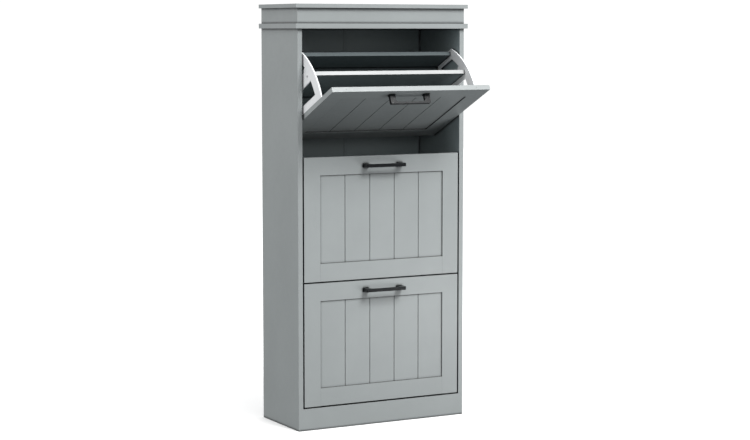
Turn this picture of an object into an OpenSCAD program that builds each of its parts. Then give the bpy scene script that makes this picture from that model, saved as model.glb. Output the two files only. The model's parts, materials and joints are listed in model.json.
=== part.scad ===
// Shoe cabinet with three tilt-out flaps.
// Each flap is a framed door that carries a two-pocket shoe holder and turns about two side pins.
// The origin is the middle of the front plinth rail's underside: X to the right, Y to the back, Z up.

/* [Overall size] */
// Height from the floor to the top of the cap board
body_h = 1300; // [1180:10:1600]
// Width across the two side panels
body_w = 580; // [440:10:760]
// Depth from the front edges to the back of the cabinet
body_d = 255; // [245:5:340]

/* [Carcass] */
// Thickness of the side panels
side_t = 15; // [12:1:22]
// Thickness of the cap board on the very top
cap_t = 12; // [9:1:18]
// Height of the plain frieze under the cap
frieze_h = 47; // [30:1:70]
// Thickness of the four frieze boards
frieze_t = 15; // [12:1:20]
// Thickness of the moulding board that closes the compartments
moulding_t = 15; // [12:1:22]
// How far the cap and the moulding stand out at the front and the sides
overhang = 9; // [4:1:16]
// Height of the front plinth rail
plinth_h = 68; // [55:1:100]
// Thickness of the plinth rails
plinth_t = 15; // [12:1:20]
// Thickness of the bottom panel
bottom_t = 12; // [12:1:18]
// Step down from the top of the plinth rail to the bottom panel
bottom_drop = 8; // [8:1:16]
// Height of the two rear stretchers
stretcher_h = 60; // [40:5:80]
// Depth of the stretchers' top edges below the flap joint they cross
stretcher_drop = 30; // [0:5:40]
// Thickness of the rear stretchers
stretcher_t = 15; // [12:1:18]
// Thickness of the back panels
back_t = 3; // [2.5:0.5:5]
// How far a back panel laps onto the boards around it
back_lap = 7; // [5:1:9]
// Width of the strip that covers the seam of the back panels
joiner_w = 6; // [4:1:16]
// Distance between the two wall screws
wall_hole_spacing = 400; // [200:10:420]
// Diameter of the holes for the wall screws
wall_hole_d = 5; // [4:0.5:7]

/* [Doors] */
// Gap between a door and a side panel
side_gap = 5; // [3:0.5:7]
// Gap above and below each door
door_gap = 4.5; // [3.5:0.5:8]
// Thickness of the stiles and rails
door_t = 15; // [13:1:20]
// Width of the stiles
stile_w = 55; // [40:1:75]
// Height of the top rail
top_rail_h = 55; // [45:1:75]
// Height of the bottom rail
bottom_rail_h = 55; // [40:1:75]
// Thickness of the planked panel
panel_t = 9; // [8:1:11]
// Depth of the panel's face behind the frame's face
panel_recess = 3; // [1:0.5:4]
// Number of planks that the panel is grooved into
planks = 5; // [3:1:9]
// Width of the V grooves between the planks
vee_w = 3; // [2:0.5:6]
// Depth of the V grooves
vee_d = 1.5; // [1:0.5:3]
// Thickness of the tongues and tenons
tongue_t = 5; // [4:0.5:6]
// Depth of the grooves that take them
groove_d = 8; // [6:1:12]

/* [Handles] */
// Overall length of a handle
handle_l = 136; // [96:4:200]
// How far a handle stands out from its door
handle_out = 30; // [24:1:40]
// Thickness of the grip bar
grip_t = 5.5; // [4:0.5:9]
// Height of the grip bar
grip_h = 10.5; // [8:0.5:16]
// Width of each leg
leg_w = 18; // [12:1:24]
// Distance from the top of a door to the middle of its handle
handle_drop = 29; // [20:1:32]

/* [Shoe holders] */
// How far a flap tilts
open_angle = 65.5; // [50:0.5:70]
// Height of the pivot above the bottom of its door
pivot_up = 141; // [125:1:160]
// Clearance of a tilting door over the board below it
swing_clear = 0.6; // [0.5:0.1:2]
// Thickness of the plastic side plates
plate_t = 3; // [2.5:0.5:5]
// Width of the lip along the rim of a plate
lip_w = 4; // [3:0.5:9]
// Height of a plate at the door
plate_top = 306; // [290:1:320]
// Height of a plate at its rear end
plate_rear_top = 221; // [200:1:240]
// Space between a closed holder and the back panel
rear_space = 46; // [30:1:60]
// Thickness of the holder's upright boards
board_t = 12; // [9:1:15]
// Thickness of the pocket floors
floor_t = 9; // [8:1:12]
// Depth of the front pocket behind the door
front_pocket = 86; // [75:1:95]
// Top of the front pocket's floor
front_floor_top = 100; // [95:1:105]
// Top of the rear pocket's floor
rear_floor_top = 120; // [115:1:130]
// Top of the board between the pockets
divider_top = 269; // [240:1:275]

/* [Pins and screws] */
// Diameter of the pivot pins
pivot_d = 8; // [6:0.5:10]
// Diameter of the stop pins
stop_d = 8; // [6:0.5:8]
// Distance from the pivot to the stop pin
stop_r = 34; // [32:0.5:36]
// Direction of the stop pin, seen from the pivot
stop_dir = -10; // [-14:1:-6]
// Running clearance of a pivot pin in its bore
pivot_clear = 0.05; // [0.03:0.01:0.1]
// Clearance between parts that move past each other
move_clear = 0.4; // [0.3:0.1:0.8]
// Diameter of the wooden dowels
dowel_d = 8; // [6:1:8]
// Length of the wooden dowels
dowel_l = 30; // [24:1:36]

/* [Hidden] */
$fn = 64;
cut = 1;

// Which flap is which, from the floor up, and how far each stands open at rest
LOWER = 0;
MIDDLE = 1;
UPPER = 2;
flap_count = 3;
rest_angle = [0, 0, open_angle];

// Colours
paint = [0.60, 0.64, 0.64];
inner_paint = [0.25, 0.28, 0.29];
white_plastic = [0.90, 0.91, 0.92];
black_metal = [0.08, 0.08, 0.09];
steel = [0.70, 0.71, 0.73];
dowel_wood = [0.80, 0.66, 0.46];

// Levels of the carcass
front = -plinth_t / 2;
back = front + body_d;
inner_back = back - back_t;
inner_x = body_w / 2 - side_t;
cap_z = body_h - cap_t;
frieze_z = cap_z - frieze_h;
ceiling = frieze_z - moulding_t;
bottom_top = plinth_h - bottom_drop;
bottom_z = bottom_top - bottom_t;
back_low = bottom_z - back_lap;
back_high = ceiling + back_lap;

// Doors
door_w = body_w - 2 * side_t - 2 * side_gap;
door_h = (ceiling - plinth_h - (flap_count + 1) * door_gap) / flap_count;
stile_x = door_w / 2 - stile_w;
panel_back = panel_recess + panel_t;
tongue_y = panel_recess + (panel_t - tongue_t) / 2;
tongue_l = groove_d - 0.5;

// The pivot depth lets the tilting door's bottom edge just clear the back edge of the board below
pivot_y = ((pivot_up + door_gap - swing_clear) ^ 2 - pivot_up ^ 2 + door_t ^ 2) / (2 * door_t);

// Holder, measured from the closed door's front face and bottom edge
divider_y = door_t + front_pocket;
divider_back = divider_y + board_t;
holder_depth = body_d - back_t - rear_space;
rear_strip = 6;
rear_board_back = holder_depth - rear_strip;
rear_board_y = rear_board_back - board_t;
rear_board_top = plate_rear_top - 9;
plate_low = front_floor_top - floor_t - 5;
plate_rear_low = rear_floor_top - floor_t - 5;
plate_step = 9;
holder_x = door_w / 2 - plate_t;
boss_l = 2 * plate_t;
boss_r = pivot_d / 2 + 10;

// Rim of a plate: an arc that starts level at the door and falls to the rear end
rim_y = door_t + 4;
rim_drop = plate_top - plate_rear_top;
rim_r = ((holder_depth - rim_y) ^ 2 + rim_drop ^ 2) / (2 * rim_drop);
rim_z = plate_top - rim_r;
lip_t = 3;

// Mounting flange of a plate on the back of the stile
flange_w = 15;
flange_t = 3;
strip_w = 22;
rim_w = 34;
web_front = 14;
web_back = 13;

// Screws: [depth, height] on a closed plate, and heights on its flange
screw_r = 1.75;
screw_l = 14;
screw_head_r = 3.5;
screw_head_t = 1.6;
divider_mid = divider_y + board_t / 2;
rear_board_mid = rear_board_y + board_t / 2;
spare_hole_r = 2;
spare_hole = [divider_back + 13.5, divider_top - 28];
spare_web_r = spare_hole_r + 9.5;
plate_screws = [
    [divider_mid, divider_top - 22], [divider_mid, divider_top - 89],
    [door_t + 15, front_floor_top - floor_t / 2], [divider_y - 21, front_floor_top - floor_t / 2],
    [divider_back + 17, rear_floor_top - floor_t / 2], [rear_board_y - 18, rear_floor_top - floor_t / 2],
    [rear_board_mid, rear_floor_top + 30], [rear_board_mid, rear_board_top - 17]];
flange_screws = [front_floor_top + 20, (front_floor_top + plate_top) / 2, plate_top - 16];
flange_screw_x = door_w / 2 - 9;
handle_screw_x = handle_l / 2 - leg_w / 2;
handle_screw_r = 2;
handle_screw_depth = 10;
handle_head_r = 4;
handle_head_t = 2.2;

// Pins in the side panels
pin_depth = 11;
pivot_spigot_r = 5;
pivot_collar_r = 10;

// Dowels: [x, y, z, direction], drawn from the middle of the joint with a third of the length beyond it
dowel_in = dowel_l * 2 / 3;
dowel_out = dowel_l / 3;
dowel_side_y = [front + 50, back - 50];
dowel_rail_z = [12, stretcher_h - 12];
stretcher_upper_z = plinth_h + 2 * (door_h + door_gap) - stretcher_drop - stretcher_h;
stretcher_lower_z = plinth_h + door_h + door_gap - stretcher_drop - stretcher_h;
stretcher_y = inner_back - stretcher_t;

// Height of a door's bottom edge
function door_z(flap) = plinth_h + door_gap + flap * (door_h + door_gap);

// A board given by its lowest and highest corners
module board(low, high) {
    translate(low) cube(high - low);
}

// Puts a closed flap's piece, drawn from the door's front bottom edge, where it stands at rest
module in_flap(flap) {
    translate([0, front + pivot_y, door_z(flap) + pivot_up])
        rotate([rest_angle[flap], 0, 0])
            translate([0, -pivot_y, -pivot_up]) children();
}

// Draws its child on the right, or mirrored on the left
module on_side(side) {
    mirror([side < 0 ? 1 : 0, 0, 0]) children();
}

// Extrudes an outline of depth and height along X, from x to x + length
module along_x(x, length) {
    translate([x, 0, 0]) rotate([90, 0, 90]) linear_extrude(length) children();
}

// A round bar along X, from x1 to x2
module bar_x(r, x1, x2) {
    translate([x1, 0, 0]) rotate([0, 90, 0]) cylinder(r = r, h = x2 - x1);
}

// ---- Dowels, nails and holes of the carcass ----

module upright_dowel(x, y, z, down, up) {
    translate([x, y, z - down]) cylinder(d = dowel_d, h = down + up);
}

module end_dowels(y, z) {
    for (side = [-1, 1])
        on_side(side) translate([0, y, z]) bar_x(dowel_d / 2, inner_x - dowel_in, inner_x + dowel_out);
}

module dowel_shapes() {
    for (x = [-1, 1] * (body_w - side_t) / 2)
        for (y = dowel_side_y) upright_dowel(x, y, ceiling, dowel_in, dowel_out);
    for (y = [front + frieze_t / 2, back - frieze_t / 2]) {
        for (x = [-1, 1] * body_w / 3) upright_dowel(x, y, frieze_z, dowel_out, dowel_in);
        for (x = [-1, 1] * body_w / 4) upright_dowel(x, y, cap_z, dowel_in, cap_t * 2 / 3);
    }
    for (y = dowel_side_y) end_dowels(y, bottom_z + bottom_t / 2);
    for (z = [plinth_h / 4, plinth_h * 3 / 4]) end_dowels(front + plinth_t / 2, z);
    end_dowels(inner_back - plinth_t / 2, bottom_z / 2);
    for (z0 = [stretcher_lower_z, stretcher_upper_z])
        for (z = dowel_rail_z) end_dowels(stretcher_y + stretcher_t / 2, z0 + z);
}

nail_r = 0.9;
nail_l = 14;
nail_head_r = 2.4;
nail_head_t = 0.8;
nail_rows = 8;
nail_inset = 25;
nail_x = inner_x + back_lap / 2;

module nail(x, z) {
    translate([x, back, z]) rotate([90, 0, 0]) {
        cylinder(r = nail_head_r, h = nail_head_t);
        cylinder(r = nail_r, h = nail_l);
    }
}

module nail_shapes() {
    first = back_low + nail_inset;
    pitch = (back_high - back_low - 2 * nail_inset) / (nail_rows - 1);
    for (side = [-1, 1], row = [0 : nail_rows - 1]) nail(side * nail_x, first + row * pitch);
    for (x = [-1, 1] * body_w / 5) nail(x, bottom_z + bottom_t / 2);
}

module wall_holes() {
    for (x = [-1, 1] * wall_hole_spacing / 2)
        translate([x, back + cut, stretcher_upper_z + stretcher_h / 2])
            rotate([90, 0, 0]) cylinder(d = wall_hole_d, h = back_t + stretcher_t + 2 * cut);
}

module joiner_shape() {
    lip = 1;
    web = 1.2;
    board([-joiner_w / 2, inner_back - lip, back_low], [joiner_w / 2, inner_back, back_high]);
    board([-web / 2, inner_back, back_low], [web / 2, back, back_high]);
}

// A carcass board with the holes for its dowels
module drilled_board(low, high) {
    difference() {
        board(low, high);
        dowel_shapes();
    }
}

// ---- Carcass ----

module top_cap() {
    color(paint) drilled_board(
        [-body_w / 2 - overhang, front - overhang, cap_z], [body_w / 2 + overhang, back, body_h]);
}

module frieze_front() {
    color(paint) drilled_board([-body_w / 2, front, frieze_z], [body_w / 2, front + frieze_t, cap_z]);
}

module frieze_side(side) {
    color(paint) on_side(side)
        board([body_w / 2 - frieze_t, front + frieze_t, frieze_z], [body_w / 2, back, cap_z]);
}

module frieze_back() {
    x = body_w / 2 - frieze_t;
    color(paint) drilled_board([-x, back - frieze_t, frieze_z], [x, back, cap_z]);
}

module moulding_board() {
    x = body_w / 2 + overhang;
    lap_x = inner_x + back_lap;
    color(paint) difference() {
        drilled_board([-x, front - overhang, ceiling], [x, back, frieze_z]);
        board([-lap_x, inner_back, ceiling - cut], [lap_x, back + cut, back_high]);
        joiner_shape();
        nail_shapes();
    }
}

module pin_holes() {
    for (flap = [LOWER : UPPER]) {
        pivot_at(flap) bar_x(pivot_spigot_r, inner_x - cut, inner_x + pin_depth);
        stop_at(flap) bar_x(stop_d / 2, inner_x - cut, inner_x + pin_depth);
    }
}

module side_panel(side) {
    color(paint) difference() {
        on_side(side) difference() {
            board([inner_x, front, 0], [body_w / 2, back, ceiling]);
            board([inner_x - cut, inner_back, back_low], [inner_x + back_lap, back + cut, ceiling + cut]);
            pin_holes();
        }
        dowel_shapes();
        nail_shapes();
    }
}

module plinth_front() {
    color(paint) drilled_board([-inner_x, front, 0], [inner_x, front + plinth_t, plinth_h]);
}

module plinth_back() {
    color(paint) difference() {
        drilled_board([-inner_x, inner_back - plinth_t, 0], [inner_x, inner_back, bottom_z]);
        joiner_shape();
    }
}

module bottom_panel() {
    color(inner_paint) difference() {
        drilled_board([-inner_x, front + plinth_t, bottom_z], [inner_x, inner_back, bottom_top]);
        joiner_shape();
        nail_shapes();
    }
}

module back_panel(side) {
    color(inner_paint) difference() {
        on_side(side) board([0, inner_back, back_low], [inner_x + back_lap, back, back_high]);
        joiner_shape();
        nail_shapes();
        wall_holes();
    }
}

module back_joiner() {
    color(inner_paint) joiner_shape();
}

module stretcher(z) {
    color(inner_paint) difference() {
        drilled_board([-inner_x, stretcher_y, z], [inner_x, inner_back, z + stretcher_h]);
        joiner_shape();
        wall_holes();
    }
}

// ---- Pins that the flaps turn on and stop against ----

module pivot_at(flap) {
    translate([0, front + pivot_y, door_z(flap) + pivot_up]) children();
}

module stop_at(flap) {
    pivot_at(flap) translate([0, stop_r * cos(stop_dir), stop_r * sin(stop_dir)]) children();
}

module pivot_pins() {
    plate_x = door_w / 2;
    color(white_plastic) for (side = [-1, 1], flap = [LOWER : UPPER])
        on_side(side) pivot_at(flap) {
            bar_x(pivot_spigot_r, inner_x, inner_x + pin_depth);
            bar_x(pivot_collar_r, plate_x + move_clear, inner_x);
            bar_x(pivot_d / 2, plate_x - boss_l - 1, inner_x);
        }
}

module stop_pins() {
    color(steel) for (side = [-1, 1], flap = [LOWER : UPPER])
        on_side(side) stop_at(flap)
            bar_x(stop_d / 2, holder_x + move_clear, inner_x + pin_depth);
}

module dowels() {
    color(dowel_wood) dowel_shapes();
}

module back_nails() {
    color(steel) nail_shapes();
}

// ---- Screws of a flap, which also cut their own holes ----

module plate_screw_shapes() {
    for (side = [-1, 1]) on_side(side) {
        for (p = plate_screws) translate([0, p[0], p[1]]) {
            bar_x(screw_head_r, door_w / 2, door_w / 2 + screw_head_t);
            bar_x(screw_r, door_w / 2 - plate_t - screw_l, door_w / 2);
        }
        for (z = flange_screws) translate([flange_screw_x, door_t + flange_t, z]) {
            rotate([-90, 0, 0]) cylinder(r = screw_head_r, h = screw_head_t);
            rotate([90, 0, 0]) cylinder(r = screw_r, h = flange_t + door_t - 4);
        }
    }
}

module handle_screw_shapes() {
    for (x = [-1, 1] * handle_screw_x) translate([x, door_t, door_h - handle_drop]) {
        rotate([-90, 0, 0]) cylinder(r = handle_head_r, h = handle_head_t);
        rotate([90, 0, 0]) cylinder(r = handle_screw_r, h = door_t + handle_screw_depth);
    }
}

module screws() {
    color(steel) {
        plate_screw_shapes();
        handle_screw_shapes();
    }
}

// ---- Door of a flap: grooved stiles, tenoned rails and a planked panel ----

module stile(side) {
    color(paint) difference() {
        on_side(side) difference() {
            board([stile_x, 0, 0], [door_w / 2, door_t, door_h]);
            board([stile_x - cut, tongue_y, -cut], [stile_x + groove_d, tongue_y + tongue_t, door_h + cut]);
        }
        plate_screw_shapes();
    }
}

// A rail from z to z + h, with its groove along the edge at groove_z and tenons as tall as the rest
module rail(z, h, groove_z, tenon_z) {
    difference() {
        union() {
            board([-stile_x, 0, z], [stile_x, door_t, z + h]);
            board([-stile_x - tongue_l, tongue_y, tenon_z],
                [stile_x + tongue_l, tongue_y + tongue_t, tenon_z + h - groove_d]);
        }
        board([-stile_x - cut, tongue_y, groove_z], [stile_x + cut, tongue_y + tongue_t, groove_z + groove_d]);
    }
}

module rail_top() {
    z = door_h - top_rail_h;
    color(paint) difference() {
        rail(z, top_rail_h, z, z + groove_d);
        handle_screw_shapes();
    }
}

module rail_bottom() {
    color(paint) rail(0, bottom_rail_h, bottom_rail_h - groove_d, 0);
}

module panel() {
    low = bottom_rail_h;
    high = door_h - top_rail_h;
    plank_w = 2 * stile_x / planks;
    color(paint) difference() {
        union() {
            board([-stile_x, panel_recess, low], [stile_x, panel_back, high]);
            board([-stile_x - tongue_l, tongue_y, low - tongue_l],
                [stile_x + tongue_l, tongue_y + tongue_t, high + tongue_l]);
        }
        for (n = [1 : planks - 1])
            translate([-stile_x + n * plank_w, panel_recess, low]) linear_extrude(high - low)
                polygon([[-vee_w / 2 - vee_w, -vee_d * 2], [vee_w / 2 + vee_w, -vee_d * 2], [0, vee_d]]);
    }
}

module handle() {
    x = handle_l / 2;
    round_off = 2;
    inner = 5;
    inner_x0 = x - leg_w;
    inner_y = grip_t - handle_out;
    foot_t = 3;
    foot_extra = 1;
    color(black_metal) translate([0, 0, door_h - handle_drop]) difference() {
        union() {
            translate([0, 0, -grip_h / 2]) linear_extrude(grip_h) polygon([
                [-x, 0], [-x, round_off - handle_out], [round_off - x, -handle_out],
                [x - round_off, -handle_out], [x, round_off - handle_out], [x, 0],
                [inner_x0, 0], [inner_x0, inner_y + inner], [inner_x0 - inner, inner_y],
                [inner - inner_x0, inner_y], [-inner_x0, inner_y + inner], [-inner_x0, 0]]);
            for (side = [-1, 1]) on_side(side)
                board([inner_x0 - foot_extra, -foot_t, -grip_h / 2 - foot_extra],
                    [x + foot_extra, 0, grip_h / 2 + foot_extra]);
        }
        translate([0, 0, handle_drop - door_h]) handle_screw_shapes();
    }
}

// ---- Shoe holder of a flap ----

// Side of the holder, as depth and height: a flat bottom with a step and the falling rim
module plate_outline() {
    intersection() {
        translate([rim_y, rim_z]) circle(r = rim_r, $fn = 128);
        polygon([[door_t, plate_low], [divider_back, plate_low], [divider_back + plate_step, plate_rear_low],
            [holder_depth, plate_rear_low], [holder_depth, plate_top + cut], [door_t, plate_top + cut]]);
    }
}

// The two windows between the rim, the strip at the door, the web on the divider and the rear strip
module plate_windows() {
    front_low = pivot_up + boss_r + 13;
    rear_low = rear_floor_top + 15;
    rear_y = rear_board_y - 12;
    web_y = divider_back + web_back;
    polygon([[door_t + strip_w, front_low], [divider_y - web_front - 4, front_low],
        [divider_y - web_front, plate_top - rim_w - 10], [door_t + strip_w, plate_top - rim_w]]);
    difference() {
        translate([rim_y, rim_z]) circle(r = rim_r - rim_w + 4, $fn = 128);
        translate([-rim_r, -rim_r]) square([rim_r + web_y, 3 * rim_r]);
        translate([-rim_r, rear_low - 3 * rim_r]) square([3 * rim_r, 3 * rim_r]);
        translate([rear_y, -rim_r]) square([rim_r, 3 * rim_r]);
        translate(spare_hole) circle(r = spare_web_r);
    }
}

// The arc-shaped slot that runs over the fixed stop pin, with flat ends that stop it
module stop_slot() {
    half = stop_d / 2 + move_clear;
    end_turn = asin(half / stop_r);
    far = 2 * stop_r;
    low_dir = stop_dir - open_angle - end_turn;
    high_dir = stop_dir + end_turn;
    mid_dir = (low_dir + high_dir) / 2;
    translate([pivot_y, pivot_up]) intersection() {
        difference() {
            circle(r = stop_r + half);
            circle(r = stop_r - half);
        }
        polygon(concat([[0, 0]], [for (a = [low_dir, mid_dir, high_dir]) far * [cos(a), sin(a)]]));
    }
}

module plate(side) {
    outer = door_w / 2;
    color(white_plastic) difference() {
        on_side(side) difference() {
            union() {
                along_x(outer - plate_t, plate_t) difference() {
                    plate_outline();
                    plate_windows();
                    stop_slot();
                }
                along_x(outer - lip_w, lip_w) difference() {
                    plate_outline();
                    translate([rim_y, rim_z]) circle(r = rim_r - lip_t, $fn = 128);
                }
                translate([0, pivot_y, pivot_up]) bar_x(boss_r, outer - boss_l, outer);
                board([outer - flange_w, door_t, front_floor_top],
                    [outer, door_t + flange_t, plate_top - 2 * lip_t]);
            }
            translate([0, pivot_y, pivot_up])
                bar_x(pivot_d / 2 + pivot_clear, outer - boss_l - cut, outer + cut);
            translate([0, spare_hole[0], spare_hole[1]])
                bar_x(spare_hole_r, outer - plate_t - cut, outer + cut);
        }
        plate_screw_shapes();
    }
}

// A board across the holder, from one plate to the other
module holder_board(low_y, low_z, high_y, high_z) {
    difference() {
        board([-holder_x, low_y, low_z], [holder_x, high_y, high_z]);
        plate_screw_shapes();
    }
}

module divider() {
    color(paint) holder_board(divider_y, front_floor_top - floor_t, divider_back, divider_top);
}

module floor_front() {
    color(paint) holder_board(door_t, front_floor_top - floor_t, divider_y, front_floor_top);
}

module floor_rear() {
    color(paint) holder_board(divider_back, rear_floor_top - floor_t, rear_board_y, rear_floor_top);
}

module rear_board() {
    color(paint) holder_board(rear_board_y, rear_floor_top - floor_t, rear_board_back, rear_board_top);
}

// ---- Pieces ----

top_cap();
frieze_front();
frieze_side(-1);  // frieze_left
frieze_side(1);  // frieze_right
frieze_back();
moulding_board();
side_panel(-1);  // side_panel_left
side_panel(1);  // side_panel_right
plinth_front();
plinth_back();
bottom_panel();
back_panel(-1);  // back_panel_left
back_panel(1);  // back_panel_right
back_joiner();
stretcher(stretcher_upper_z);  // stretcher_upper
stretcher(stretcher_lower_z);  // stretcher_lower
pivot_pins();
stop_pins();
dowels();
back_nails();

in_flap(UPPER) stile(-1);  // upper_stile_left
in_flap(UPPER) stile(1);  // upper_stile_right
in_flap(UPPER) rail_top();  // upper_rail_top
in_flap(UPPER) rail_bottom();  // upper_rail_bottom
in_flap(UPPER) panel();  // upper_panel
in_flap(UPPER) handle();  // upper_handle
in_flap(UPPER) plate(-1);  // upper_plate_left
in_flap(UPPER) plate(1);  // upper_plate_right
in_flap(UPPER) divider();  // upper_divider
in_flap(UPPER) floor_front();  // upper_floor_front
in_flap(UPPER) floor_rear();  // upper_floor_rear
in_flap(UPPER) rear_board();  // upper_rear_board
in_flap(UPPER) screws();  // upper_screws

in_flap(MIDDLE) stile(-1);  // middle_stile_left
in_flap(MIDDLE) stile(1);  // middle_stile_right
in_flap(MIDDLE) rail_top();  // middle_rail_top
in_flap(MIDDLE) rail_bottom();  // middle_rail_bottom
in_flap(MIDDLE) panel();  // middle_panel
in_flap(MIDDLE) handle();  // middle_handle
in_flap(MIDDLE) plate(-1);  // middle_plate_left
in_flap(MIDDLE) plate(1);  // middle_plate_right
in_flap(MIDDLE) divider();  // middle_divider
in_flap(MIDDLE) floor_front();  // middle_floor_front
in_flap(MIDDLE) floor_rear();  // middle_floor_rear
in_flap(MIDDLE) rear_board();  // middle_rear_board
in_flap(MIDDLE) screws();  // middle_screws

in_flap(LOWER) stile(-1);  // lower_stile_left
in_flap(LOWER) stile(1);  // lower_stile_right
in_flap(LOWER) rail_top();  // lower_rail_top
in_flap(LOWER) rail_bottom();  // lower_rail_bottom
in_flap(LOWER) panel();  // lower_panel
in_flap(LOWER) handle();  // lower_handle
in_flap(LOWER) plate(-1);  // lower_plate_left
in_flap(LOWER) plate(1);  // lower_plate_right
in_flap(LOWER) divider();  // lower_divider
in_flap(LOWER) floor_front();  // lower_floor_front
in_flap(LOWER) floor_rear();  // lower_floor_rear
in_flap(LOWER) rear_board();  // lower_rear_board
in_flap(LOWER) screws();  // lower_screws
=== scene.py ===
"""Looks of the shoe cabinet: procedural materials, softened edges, detailed screws, studio light, camera."""

import json
import math

import bmesh
import bpy
from mathutils import Matrix, Vector


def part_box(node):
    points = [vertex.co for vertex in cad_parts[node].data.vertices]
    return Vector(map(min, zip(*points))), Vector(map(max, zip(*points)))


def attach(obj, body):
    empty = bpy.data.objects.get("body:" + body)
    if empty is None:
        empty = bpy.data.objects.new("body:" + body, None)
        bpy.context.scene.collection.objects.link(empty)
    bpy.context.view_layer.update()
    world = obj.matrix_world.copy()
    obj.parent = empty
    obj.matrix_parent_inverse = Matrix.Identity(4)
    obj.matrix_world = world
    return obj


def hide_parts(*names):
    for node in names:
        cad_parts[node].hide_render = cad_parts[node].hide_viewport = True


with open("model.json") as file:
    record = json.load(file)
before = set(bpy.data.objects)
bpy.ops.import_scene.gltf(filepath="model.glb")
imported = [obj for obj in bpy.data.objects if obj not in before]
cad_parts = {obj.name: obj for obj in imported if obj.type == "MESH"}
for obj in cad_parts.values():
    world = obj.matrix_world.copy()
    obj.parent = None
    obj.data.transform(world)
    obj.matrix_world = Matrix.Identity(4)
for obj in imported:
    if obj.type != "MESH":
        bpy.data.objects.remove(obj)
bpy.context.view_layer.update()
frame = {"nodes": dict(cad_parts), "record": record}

MM = 0.001
FLAPS = ("upper", "middle", "lower")
# Forward lean of each flap at rest in degrees: a flap is closed at the lower end of its joint's range
LEAN = {joint["name"].removesuffix("_tilt"): -joint["range_deg"][0]
        for joint in frame["record"]["behaviour"]["joints"]}

# ---- Node helpers ----

NOISE_ROUGHNESS = 0.55
# Most values of a noise lie between these two
NOISE_LOW = 0.35
NOISE_HIGH = 0.65


def node(tree, kind, **values):
    """A node with its properties or input sockets set by name; an underscore in it stands for a space."""
    made = tree.nodes.new(kind)
    for key, value in values.items():
        if hasattr(made, key):
            setattr(made, key, value)
        else:
            made.inputs[key.replace("_", " ")].default_value = value
    return made


def noise(tree, place, scale, detail=3.0):
    """The factor of a noise texture at a place, with its scale per metre."""
    made = node(tree, "ShaderNodeTexNoise", Scale=scale, Detail=detail, Roughness=NOISE_ROUGHNESS)
    tree.links.new(place, made.inputs["Vector"])
    return made.outputs["Fac"]


def spread(tree, value, low, high, from_low=NOISE_LOW, from_high=NOISE_HIGH):
    """A value brought from one range to another, and held inside it."""
    made = node(tree, "ShaderNodeMapRange", From_Min=from_low, From_Max=from_high, To_Min=low, To_Max=high)
    tree.links.new(value, made.inputs["Value"])
    return made.outputs["Result"]


def colours_of(sockets):
    """The colour sockets among a node's inputs or outputs."""
    return [socket for socket in sockets if socket.type == "RGBA"]


def blend_colour(tree, factor, first, second):
    """A mix of two colours, each a colour or a socket."""
    made = node(tree, "ShaderNodeMix", data_type="RGBA")
    tree.links.new(factor, made.inputs["Factor"])
    for socket, colour in zip(colours_of(made.inputs), (first, second)):
        if isinstance(colour, bpy.types.NodeSocket):
            tree.links.new(colour, socket)
        else:
            socket.default_value = (*colour, 1.0)
    return colours_of(made.outputs)[0]


def shade(colour, share):
    """A colour made lighter or darker."""
    return tuple(min(1.0, channel * share) for channel in colour)


def toned(tree, pattern, colour, darkest, lightest):
    """A colour that varies with a noise between two shares of itself."""
    amount = spread(tree, pattern, 0.0, 1.0)
    return blend_colour(tree, amount, shade(colour, darkest), shade(colour, lightest))


def bump(tree, height, distance, strength, normal=None):
    """A bump from a height, over an earlier normal if one is given."""
    made = node(tree, "ShaderNodeBump", Distance=distance, Strength=strength)
    tree.links.new(height, made.inputs["Height"])
    if normal is not None:
        tree.links.new(normal, made.inputs["Normal"])
    return made.outputs["Normal"]


def start_material(name, **sockets):
    """A new material with constant sockets set on its shader; gives the material, tree, shader and place."""
    material = bpy.data.materials.new(name)
    material.use_nodes = True
    tree = material.node_tree
    shader = next(n for n in tree.nodes if n.type == "BSDF_PRINCIPLED")
    for key, value in sockets.items():
        shader.inputs[key.replace("_", " ")].default_value = value
    place = node(tree, "ShaderNodeTexCoord").outputs["Object"]
    return material, tree, shader, place


def link_shader(tree, shader, base, roughness, normal):
    """Gives a shader its colour, roughness and normal."""
    for key, socket in (("Base Color", base), ("Roughness", roughness), ("Normal", normal)):
        tree.links.new(socket, shader.inputs[key])


def mix_by_ray(tree, for_light, for_camera, output):
    """Sends one shader to the rays that carry light and another to those that the camera sees."""
    path = node(tree, "ShaderNodeLightPath")
    mix = node(tree, "ShaderNodeMixShader")
    tree.links.new(path.outputs["Is Camera Ray"], mix.inputs[0])
    tree.links.new(for_light.outputs[0], mix.inputs[1])
    tree.links.new(for_camera.outputs[0], mix.inputs[2])
    tree.links.new(mix.outputs[0], output.inputs["Surface"])


# ---- Materials ----

PAINT = (0.290, 0.312, 0.313)
# Painted shade: the grey paint a little darker and bluer for the inside of the cabinet
INNER_SHADE = (0.245, 0.290, 0.300)
# Painted shade: the grey paint made very dark for the holder boards and dividers in the flaps' shadowed
# pockets
POCKET_SHADE = (0.095, 0.115, 0.120)
# Painted highlight: a pale grey for top edges that catch the light
TOP_HIGHLIGHT = (0.47, 0.48, 0.48)
PLASTIC = (0.80, 0.81, 0.82)
BLACK = (0.0045, 0.0055, 0.0065)
ZINC = (0.56, 0.56, 0.57)
BEECH = (0.60, 0.44, 0.26)

# Gloss of each painted finish, which is its specular level
SATIN = 0.5
MELAMINE = 0.42
DIVIDER_GLOSS = 0.2
HOLDER_GLOSS = 0.1
# Roughness range of paint without gloss, and how much of the gloss is taken off it
PAINT_ROUGHNESS = (0.54, 0.64)
GLOSS_SMOOTHS = 0.4
# Painted shade: joints and grooves narrower than the reach are darkened by how closed in they are, to the
# share where their openness is under CREVICE_CLOSED, and not at all where it is over CREVICE_OPEN
CREVICE_REACH = 9.0 * MM
CREVICE_SHARE = 0.03
CREVICE_CLOSED = 0.54
CREVICE_OPEN = 0.94
CREVICE_SAMPLES = 6
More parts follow.
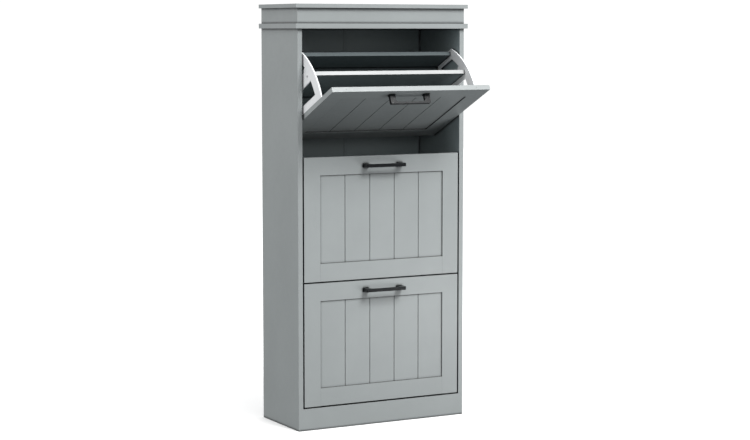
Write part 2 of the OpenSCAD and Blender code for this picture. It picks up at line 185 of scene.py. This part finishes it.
# The side panels turn from inner painted shade to paint over this stretch, outwards from their inner faces
INNER_FROM = 0.05 * MM
INNER_TO = 0.25 * MM
# Cosine between a face's normal and its board's upward direction where the painted highlight starts and is
# full
TOP_EDGE_STARTS = 0.6
TOP_EDGE_FULL = 0.8
# Noise scales of beech, whose grain is drawn out along X
GRAIN_SCALE = (90.0, 900.0, 900.0)

INNER_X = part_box("plinth_front")[1].x


def crevice_shade(tree, base):
    """A colour darkened with painted shade in grooves, rebates and joints, by how closed in they are."""
    openness = node(tree, "ShaderNodeAmbientOcclusion", samples=CREVICE_SAMPLES, Distance=CREVICE_REACH)
    # Painted shade: the more closed in a spot is, the darker its colour
    shade_share = spread(tree, openness.outputs["AO"], CREVICE_SHARE, 1.0, CREVICE_CLOSED, CREVICE_OPEN)
    grey = node(tree, "ShaderNodeCombineColor")
    for channel in ("Red", "Green", "Blue"):
        tree.links.new(shade_share, grey.inputs[channel])
    made = node(tree, "ShaderNodeMix", data_type="RGBA", blend_type="MULTIPLY", Factor=1.0)
    for socket, colour in zip(colours_of(made.inputs), (base, grey.outputs[0])):
        tree.links.new(colour, socket)
    return colours_of(made.outputs)[0]


def inner_share(tree):
    """One on what lies nearer the middle than the side panels' inner faces, where the painted shade goes,
    and nought outside.
    """
    axes = node(tree, "ShaderNodeSeparateXYZ")
    tree.links.new(node(tree, "ShaderNodeTexCoord").outputs["Object"], axes.inputs[0])
    size = node(tree, "ShaderNodeMath", operation="ABSOLUTE")
    tree.links.new(axes.outputs["X"], size.inputs[0])
    return spread(tree, size.outputs[0], 1.0, 0.0, INNER_X + INNER_FROM, INNER_X + INNER_TO)


def highlight_share(tree, lean):
    """One on the top edge of a board that leans forward by so many degrees at rest, where the painted
    highlight goes, and nought elsewhere.
    """
    up = (0.0, -math.sin(math.radians(lean)), math.cos(math.radians(lean)))
    along = node(tree, "ShaderNodeVectorMath", operation="DOT_PRODUCT")
    tree.links.new(node(tree, "ShaderNodeTexCoord").outputs["Normal"], along.inputs[0])
    along.inputs[1].default_value = up
    return spread(tree, along.outputs["Value"], 0.0, 1.0, TOP_EDGE_STARTS, TOP_EDGE_FULL)


def painted_board(name, colour, gloss, second=None, second_share=None):
    """Paint on board: a fine sprayed texture, soft tone changes and painted shade in joints and grooves.
    second_share takes the tree and says where a second colour lies."""
    material, tree, shader, place = start_material(name, Specular_IOR_Level=gloss)
    tone = noise(tree, place, scale=7.0, detail=4.0)
    base = toned(tree, tone, colour, darkest=0.975, lightest=1.025)
    if second is not None:
        other = toned(tree, tone, second, darkest=0.95, lightest=1.05)
        base = blend_colour(tree, second_share(tree), base, other)
    specks = noise(tree, place, scale=900.0, detail=2.0)
    speckled = spread(tree, specks, 0.0, 0.06, from_low=0.3, from_high=0.7)
    base = blend_colour(tree, speckled, base, shade(colour, 0.6))
    smoothest, roughest = (limit - GLOSS_SMOOTHS * gloss for limit in PAINT_ROUGHNESS)
    roughness = spread(tree, noise(tree, place, scale=60.0), smoothest, roughest)
    peel = noise(tree, place, scale=520.0, detail=2.0)
    wave = noise(tree, place, scale=28.0, detail=2.0)
    fine = bump(tree, peel, distance=0.04 * MM, strength=0.55)
    surface = bump(tree, wave, distance=0.10 * MM, strength=0.35, normal=fine)
    # The colour goes out with painted shade in its joints and grooves
    link_shader(tree, shader, crevice_shade(tree, base), roughness, surface)
    return material


def moulded_plastic(name, colour):
    """White moulded plastic with a fine spark-eroded grain."""
    material, tree, shader, place = start_material(name)
    base = toned(tree, noise(tree, place, scale=18.0), colour, darkest=0.965, lightest=1.02)
    grain = noise(tree, place, scale=1500.0, detail=2.0)
    base = blend_colour(tree, spread(tree, grain, 0.0, 0.12), base, shade(colour, 0.72))
    eroded = bump(tree, grain, distance=0.05 * MM, strength=0.6)
    link_shader(tree, shader, base, spread(tree, grain, 0.42, 0.56), eroded)
    return material


def powder_coat(name, colour):
    """Black powder coat on metal."""
    material, tree, shader, place = start_material(name, Specular_IOR_Level=0.26)
    grain = noise(tree, place, scale=1900.0)
    base = toned(tree, grain, colour, darkest=0.8, lightest=1.4)
    roughness = spread(tree, noise(tree, place, scale=45.0), 0.28, 0.36)
    link_shader(tree, shader, base, roughness, bump(tree, grain, distance=0.03 * MM, strength=0.7))
    return material


def zinc(name, colour):
    """Zinc plate with cloudy spangle."""
    material, tree, shader, place = start_material(name, Metallic=1.0)
    cloud = noise(tree, place, scale=260.0, detail=4.0)
    base = toned(tree, cloud, colour, darkest=0.75, lightest=1.1)
    fine = bump(tree, noise(tree, place, scale=1200.0), distance=0.02 * MM, strength=0.5)
    link_shader(tree, shader, base, spread(tree, cloud, 0.28, 0.45), fine)
    return material


def raw_beech(name, colour):
    """Raw beech with fine grain along X."""
    material, tree, shader, place = start_material(name, Specular_IOR_Level=0.25)
    stretch = node(tree, "ShaderNodeMapping", Scale=GRAIN_SCALE)
    tree.links.new(place, stretch.inputs["Vector"])
    grain = noise(tree, stretch.outputs["Vector"], scale=1.0, detail=4.0)
    base = toned(tree, grain, colour, darkest=0.78, lightest=1.1)
    fibres = bump(tree, grain, distance=0.05 * MM, strength=0.5)
    link_shader(tree, shader, base, spread(tree, grain, 0.6, 0.75), fibres)
    return material


MATERIALS = {
    "painted_carcass": painted_board("carcass_paint", PAINT, SATIN),
    "painted_door": painted_board("door_paint", PAINT, SATIN),
    # The holder boards take the very dark pocket colour as painted shade
    "holder_board": painted_board("holder_board", POCKET_SHADE, HOLDER_GLOSS),
    # The back board takes the darker inside colour as painted shade
    "back_board": painted_board("back_board", INNER_SHADE, MELAMINE),
    "white_plastic": moulded_plastic("white_plastic", PLASTIC),
    "black_handle": powder_coat("black_powder_coat", BLACK),
    "steel": zinc("zinc_plate", ZINC),
    "dowel_wood": raw_beech("raw_beech", BEECH),
}
# Painted shade: the side panels' inner faces, the bottom panel and the stretchers take the darker inside
# colour
SIDE_PAINT = painted_board("side_panel_paint", PAINT, SATIN, INNER_SHADE, inner_share)
INNER_PAINT = painted_board("inner_melamine", INNER_SHADE, MELAMINE)
# The dividers: painted shade on their faces and a painted highlight on their top edges
DIVIDER_PAINT = {flap: painted_board(flap + "_divider_paint", POCKET_SHADE, DIVIDER_GLOSS, TOP_HIGHLIGHT,
                                     lambda tree: highlight_share(tree, LEAN[flap])) for flap in FLAPS}
INNER_NODES = ("bottom_panel", "stretcher_upper", "stretcher_lower")

# ---- Softened edges of the CAD nodes ----

# Bevel width in millimetres, by the first word here that is in a node's name; a door's joints stay finer
EDGES = {"plate_": 0.5, "handle": 1.1, "stile": 0.7, "rail_": 0.45, "top_cap": 2.0,
         "moulding": 2.2, "side_panel": 0.8, "back_panel": 0.4, "bottom_panel": 0.5,
         "panel": 0.35, "frieze": 0.35, "pins": 0.3, "screws": 0.25,
         "nails": 0.15, "joiner": 0.25, "dowels": 0.3}
OTHER_EDGES = 0.6
EDGE_SEGMENTS = 3
EDGE_ANGLE = math.radians(35)
WELD_DISTANCE = 0.01 * MM

# Pieces with holes or grooves, whose flat faces are joined up before their edges are rounded
FLATTENED = ("plate_", "back_panel", "rail_", "upper_panel", "middle_panel", "lower_panel")
FLAT_ANGLE = math.radians(0.02)


def edge_width(name):
    """Bevel width of a CAD node."""
    return next((width for word, width in EDGES.items() if word in name), OTHER_EDGES) * MM


def soften(obj, width):
    """Rounds the edges of a CAD node without touching its mesh."""
    weld = obj.modifiers.new("weld", "WELD")
    weld.merge_threshold = WELD_DISTANCE
    if any(word in obj.name for word in FLATTENED):
        flat = obj.modifiers.new("flat_faces", "DECIMATE")
        flat.decimate_type = "DISSOLVE"
        flat.angle_limit = FLAT_ANGLE
    bevel = obj.modifiers.new("soft_edges", "BEVEL")
    bevel.width = width
    bevel.segments = EDGE_SEGMENTS
    bevel.limit_method = "ANGLE"
    bevel.angle_limit = EDGE_ANGLE
    bevel.harden_normals = True
    bevel.use_clamp_overlap = True


def finish_of(name, slot):
    """The material of a CAD node, from its name and its slot in the record."""
    if name.startswith("side_panel"):
        return SIDE_PAINT
    if name in INNER_NODES:
        return INNER_PAINT
    if name.endswith("divider"):
        return DIVIDER_PAINT[name.removesuffix("_divider")]
    return MATERIALS[slot]


slots = {row["node"]: row["material_slot"] for row in frame["record"]["subparts"]}
for node_name, cad_object in frame["nodes"].items():
    cad_object.data.materials.clear()
    cad_object.data.materials.append(finish_of(node_name, slots[node_name]))
    soften(cad_object, edge_width(node_name))

# ---- Screws with cross recesses, in place of the plain CAD ones ----

# Points of a CAD screw this near an end belong to it, and those beyond this share of the head's radius
# belong to its rim
END_LAYER = 0.1 * MM
RIM_SHARE = 0.98
SAME_POINT = 0.001 * MM
ROUND_SIDES = 32
# Each screw stops at its own turn, which is this many radians past the one before
SCREW_TURN = 0.7
SHARP_ANGLE = math.radians(40)
# The screw's point: a blunt tip, with its radius as a share of the shank's and its height, and then a cone
# that ends this many shank radii from the tip
TIP_SHARE = 0.35
TIP_RISE = 0.2 * MM
POINT_LENGTH = 1.8
# The pan head: the bevel of its lower rim, then its crown as shares of the radius and of the thickness
# below the top
HEAD_BEVEL = 0.15 * MM
CROWN = ((1.0, 0.6), (0.94, 0.34), (0.80, 0.14), (0.55, 0.03))
# The cross recess: its arms' reach and half their width as shares of the head's radius, its depth as a share
# of the head's thickness and at most, the cutter's size at its two ends as shares of those, and how far the
# cutter stands out of the head
RECESS_REACH = 0.62
RECESS_WIDTH = 0.15
RECESS_DEPTH = 0.8
RECESS_DEEPEST = 1.5 * MM
RECESS_TOP_SHARE = 1.1
RECESS_BOTTOM_SHARE = 0.45
RECESS_RISE = 0.3 * MM


def new_object(name, data):
    """A new object in the scene."""
    made = bpy.data.objects.new(name, data)
    bpy.context.scene.collection.objects.link(made)
    return made


def islands(mesh, turn):
    """The separate solids of a CAD mesh, each as a list of turned points."""
    maker = bmesh.new()
    maker.from_mesh(mesh)
    bmesh.ops.remove_doubles(maker, verts=maker.verts, dist=SAME_POINT)
    left = set(maker.verts)
    found = []
    while left:
        start = left.pop()
        group, edge = [start], [start]
        while edge:
            for link in edge.pop().link_edges:
                for vert in link.verts:
                    if vert in left:
                        left.remove(vert)
                        group.append(vert)
                        edge.append(vert)
        found.append([turn @ vert.co for vert in group])
    maker.free()
    return sorted(found, key=lambda points: tuple(round(v, 5) for v in min(points, key=tuple)))


def screw_frame(points):
    """A CAD screw's head top, direction out of it, head radius and thickness, shank radius and length."""
    low = Vector([min(p[i] for p in points) for i in range(3)])
    high = Vector([max(p[i] for p in points) for i in range(3)])
    size = high - low
    along = max(range(3), key=lambda i: size[i])
    across = (along + 1) % 3
    middle = (low + high) / 2

    def radius(places):
        return max(abs(p[across] - middle[across]) for p in points if places(p[along]))

    at_high = radius(lambda v: v > high[along] - END_LAYER)
    at_low = radius(lambda v: v < low[along] + END_LAYER)
    sign = 1 if at_high > at_low else -1
    out = Vector([0.0, 0.0, 0.0])
    out[along] = sign
    top = middle.copy()
    top[along] = high[along] if sign > 0 else low[along]
    head_r, shank_r = max(at_high, at_low), min(at_high, at_low)
    rim = [p for p in points if abs(p[across] - middle[across]) > RIM_SHARE * head_r]
    head_t = max(abs(p[along] - top[along]) for p in rim)
    return top, out, head_r, head_t, shank_r, size[along]


def turned(maker, profile):
    """Turns a profile of radius and height round Z, closed by a point at both ends."""
    angles = [2 * math.pi * k / ROUND_SIDES for k in range(ROUND_SIDES)]
    rings = []
    for radius, height in profile:
        if radius == 0.0:
            rings.append([maker.verts.new((0.0, 0.0, height))])
        else:
            places = [(radius * math.cos(a), radius * math.sin(a), height) for a in angles]
            rings.append([maker.verts.new(place) for place in places])
    for lower, upper in zip(rings, rings[1:]):
        for k in range(ROUND_SIDES):
            after = (k + 1) % ROUND_SIDES
            if len(lower) == 1:
                maker.faces.new((lower[0], upper[after], upper[k]))
            elif len(upper) == 1:
                maker.faces.new((lower[k], lower[after], upper[0]))
            else:
                maker.faces.new((lower[k], lower[after], upper[after], upper[k]))


def cross_tool(maker, reach, width, depth):
    """A closed cross that draws in downwards, which cuts the recess into a head whose top is at 0."""
    def ring(share, height):
        a, b = reach * share, width * share
        arm = [(a, -b), (a, b), (b, b)]
        corners = []
        for _ in range(4):
            corners += arm
            arm = [(-y, x) for x, y in arm]
        return [maker.verts.new((x, y, height)) for x, y in corners]

    upper = ring(RECESS_TOP_SHARE, RECESS_RISE)
    lower = ring(RECESS_BOTTOM_SHARE, -depth)
    for k in range(len(upper)):
        after = (k + 1) % len(upper)
        maker.faces.new((lower[k], lower[after], upper[after], upper[k]))
    maker.faces.new(upper)
    maker.faces.new(lower[::-1])


def mesh_object(name, fill):
    """An object whose mesh is filled by a function."""
    maker = bmesh.new()
    fill(maker)
    bmesh.ops.recalc_face_normals(maker, faces=maker.faces)
    mesh = bpy.data.meshes.new(name)
    maker.to_mesh(mesh)
    maker.free()
    return new_object(name, mesh)


def screw_mesh(head_r, head_t, shank_r, length):
    """A pan-head screw along -Z from its head's top at the origin, with a cross recess."""
    profile = [(0.0, -length), (TIP_SHARE * shank_r, -length + TIP_RISE),
               (shank_r, -length + POINT_LENGTH * shank_r), (shank_r, -head_t),
               (head_r - HEAD_BEVEL, -head_t), (head_r, -head_t + HEAD_BEVEL)]
    profile += [(share * head_r, -depth * head_t) for share, depth in CROWN]
    profile.append((0.0, 0.0))
    depth = min(RECESS_DEPTH * head_t, RECESS_DEEPEST)
    body = mesh_object("screw_blank", lambda maker: turned(maker, profile))
    tool = mesh_object("screw_recess",
                       lambda maker: cross_tool(maker, RECESS_REACH * head_r, RECESS_WIDTH * head_r, depth))
    cut = body.modifiers.new("recess", "BOOLEAN")
    cut.object = tool
    cut.operation = "DIFFERENCE"
    cut.solver = "EXACT"
    bpy.context.view_layer.update()
    mesh = bpy.data.meshes.new_from_object(body.evaluated_get(bpy.context.evaluated_depsgraph_get()))
    for spare in (body, tool):
        bpy.data.objects.remove(spare)
    return mesh


def detailed_screws(flap):
    """One piece with a flap's screws, where its CAD ones are; made upright and then leaned with the flap."""
    source = frame["nodes"][flap + "_screws"]
    leaned = Matrix.Rotation(math.radians(LEAN[flap]), 4, "X")
    kinds = {}
    maker = bmesh.new()
    for index, points in enumerate(islands(source.data, leaned.inverted())):
        top, out, *sizes = screw_frame(points)
        kind = tuple(round(v, 6) for v in sizes)
        if kind not in kinds:
            kinds[kind] = screw_mesh(*kind)
        copy = kinds[kind].copy()
        turn = out.to_track_quat("Z", "Y").to_matrix().to_4x4()
        spin = Matrix.Rotation(SCREW_TURN * index, 4, "Z")
        copy.transform(Matrix.Translation(top) @ turn @ spin)
        maker.from_mesh(copy)
    mesh = bpy.data.meshes.new(flap + "_screw_set")
    maker.to_mesh(mesh)
    maker.free()
    mesh.transform(leaned)
    for polygon in mesh.polygons:
        polygon.use_smooth = True
    mesh.set_sharp_from_angle(angle=SHARP_ANGLE)
    piece = new_object(flap + "_screw_set", mesh)
    mesh.materials.append(MATERIALS["steel"])
    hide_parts(flap + "_screws")
    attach(piece, flap + "_flap")


for flap_name in FLAPS:
    detailed_screws(flap_name)

# ---- Stage, light and camera ----

# Half the floor's side, its colour as the camera sees it, and the colour of the light that it throws back
FLOOR_HALF = 12.0
FLOOR_DARK = (0.90, 0.90, 0.90)
FLOOR_LIGHT = (0.92, 0.92, 0.92)
FLOOR_BOUNCE = (0.09, 0.095, 0.10)
WHITE = (1.0, 1.0, 1.0)
BACKGROUND_STRENGTH = 1.05

# The camera's place in metres, its turn and dip in degrees, and its lens and sensor in millimetres
CAMERA_PLACE = (-2.8122, -5.1795, 1.2178)
CAMERA_TURN = 28.309
CAMERA_DIP = 5.639
CAMERA_LENS = 91.794
CAMERA_SENSOR = 36.0


def stage_floor():
    """A plain pale floor that throws little light back up, as in a large dim studio."""
    mesh = bpy.data.meshes.new("floor")
    maker = bmesh.new()
    bmesh.ops.create_grid(maker, x_segments=1, y_segments=1, size=FLOOR_HALF)
    maker.to_mesh(mesh)
    maker.free()
    floor = new_object("floor", mesh)
    material, tree, shader, place = start_material("floor", Roughness=0.9)
    tone = spread(tree, noise(tree, place, scale=1.5), 0.0, 1.0)
    tree.links.new(blend_colour(tree, tone, FLOOR_DARK, FLOOR_LIGHT), shader.inputs["Base Color"])
    bounce = node(tree, "ShaderNodeBsdfDiffuse", Color=(*FLOOR_BOUNCE, 1.0))
    output = next(n for n in tree.nodes if n.type == "OUTPUT_MATERIAL")
    mix_by_ray(tree, bounce, shader, output)
    mesh.materials.append(material)


def area_light(name, place, target, size, power):
    """A square area light that looks at a point."""
    data = bpy.data.lights.new(name, "AREA")
    data.shape = "SQUARE"
    data.size = size
    data.energy = power
    light = new_object(name, data)
    light.location = place
    light.rotation_euler = (Vector(target) - Vector(place)).to_track_quat("-Z", "Y").to_euler()


def sky(top, level, below):
    """A white background for the camera, and for the light a soft sky that darkens downwards."""
    world = bpy.data.worlds.new("studio")
    bpy.context.scene.world = world
    world.use_nodes = True
    tree = world.node_tree
    tree.nodes.clear()
    height = node(tree, "ShaderNodeSeparateXYZ")
    tree.links.new(node(tree, "ShaderNodeTexCoord").outputs["Generated"], height.inputs[0])
    upper = spread(tree, height.outputs["Z"], level, top, from_low=0.0, from_high=1.0)
    lower = spread(tree, height.outputs["Z"], below - level, 0.0, from_low=-1.0, from_high=0.0)
    total = node(tree, "ShaderNodeMath", operation="ADD")
    tree.links.new(upper, total.inputs[0])
    tree.links.new(lower, total.inputs[1])
    light = node(tree, "ShaderNodeBackground", Color=(*WHITE, 1.0))
    tree.links.new(total.outputs[0], light.inputs["Strength"])
    white = node(tree, "ShaderNodeBackground", Color=(*WHITE, 1.0), Strength=BACKGROUND_STRENGTH)
    mix_by_ray(tree, light, white, node(tree, "ShaderNodeOutputWorld"))


def photo_camera():
    """The camera, turned and dipped towards the cabinet."""
    data = bpy.data.cameras.new("camera")
    data.lens = CAMERA_LENS
    data.sensor_width = CAMERA_SENSOR
    camera = new_object("camera", data)
    camera.location = CAMERA_PLACE
    camera.rotation_euler = (math.radians(90.0 - CAMERA_DIP), 0.0, math.radians(-CAMERA_TURN))
    bpy.context.scene.camera = camera


stage_floor()
sky(top=1.6, level=0.55, below=0.14)
area_light("key", place=(2.3, -7.4, 9.4), target=(0.0, 0.0, 1.0), size=4.2, power=1340.0)
area_light("left_fill", place=(-6.5, 0.2, 1.2), target=(0.0, 0.0, 0.4), size=2.6, power=122.0)
area_light("low_fill", place=(1.0, -1.0, 0.04), target=(0.8, -0.8, 1.5), size=1.0, power=18.0)
photo_camera()
bpy.context.scene.view_settings.view_transform = "Standard"
